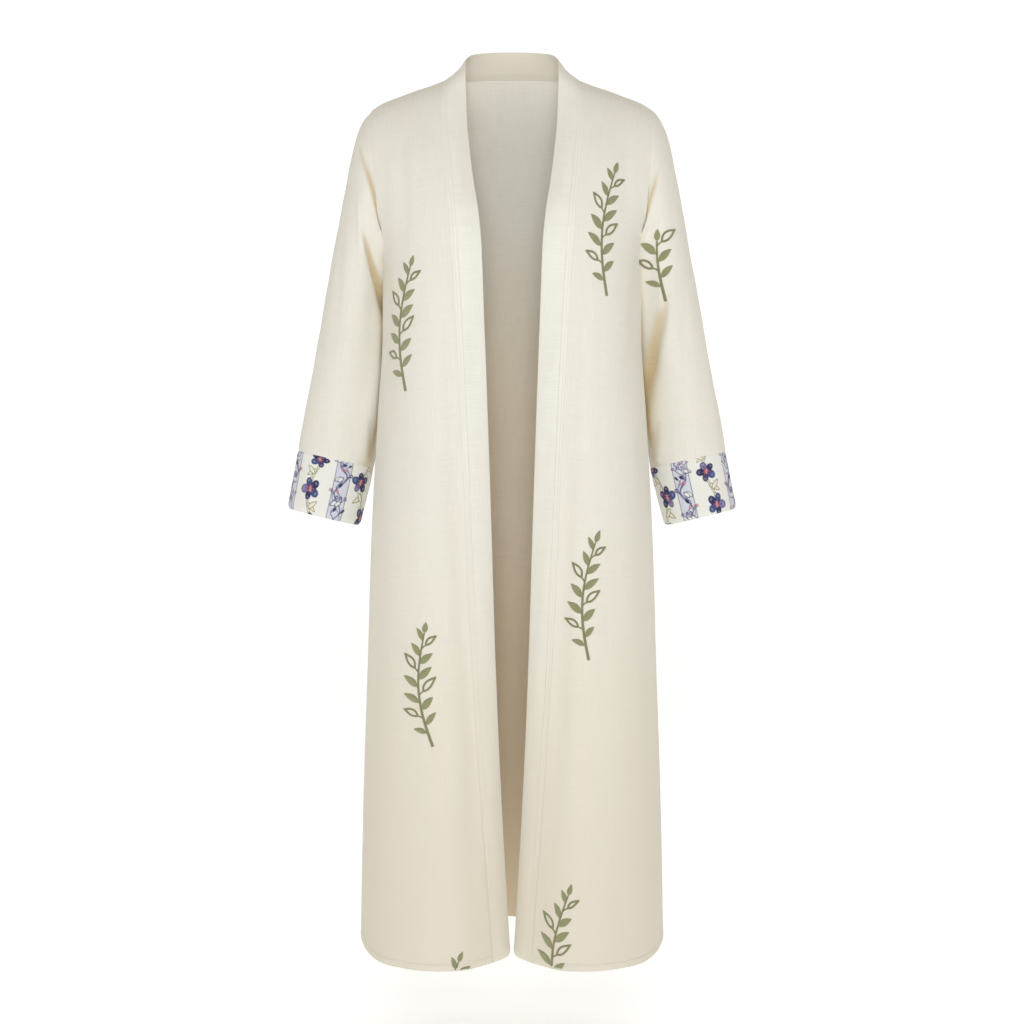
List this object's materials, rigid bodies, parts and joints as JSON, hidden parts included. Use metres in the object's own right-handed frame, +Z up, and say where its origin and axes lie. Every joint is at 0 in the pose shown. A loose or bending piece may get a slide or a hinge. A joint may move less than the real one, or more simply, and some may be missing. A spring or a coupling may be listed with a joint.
{
  "type": "kimono abaya",
  "caption": "Long open-fronted robe with set-in straight sleeves, printed cuffs and a band round the neck and fronts.",
  "frame": {"origin": "level with the top of the shoulders at the neck's side, on the shoulder seams and in the middle, where the wearer's shoulders hold the robe", "axes": "+Z up along the robe's length, the front faces -Y, +X towards the wearer's left"},
  "size_m": [0.7094, 0.3094, 1.3977],
  "materials": {
    "linen": "cream slubbed linen in plain weave, matt, softly creased",
    "band_linen": "the same cream linen, doubled and topstitched",
    "printed_cotton": "white cotton printed with blue, lavender and leaf stripes",
    "green_thread": "olive green satin stitch, slightly shiny",
    "cream_thread": "cream sewing thread"
  },
  "bodies": {
    "root": {"back": "linen", "front_left": "linen", "front_right": "linen", "sleeve_left": "linen", "sleeve_right": "linen", "cuff_left": "printed_cotton", "cuff_right": "printed_cotton", "band_left": "band_linen", "band_right": "band_linen"}
  },
  "joints": []
}
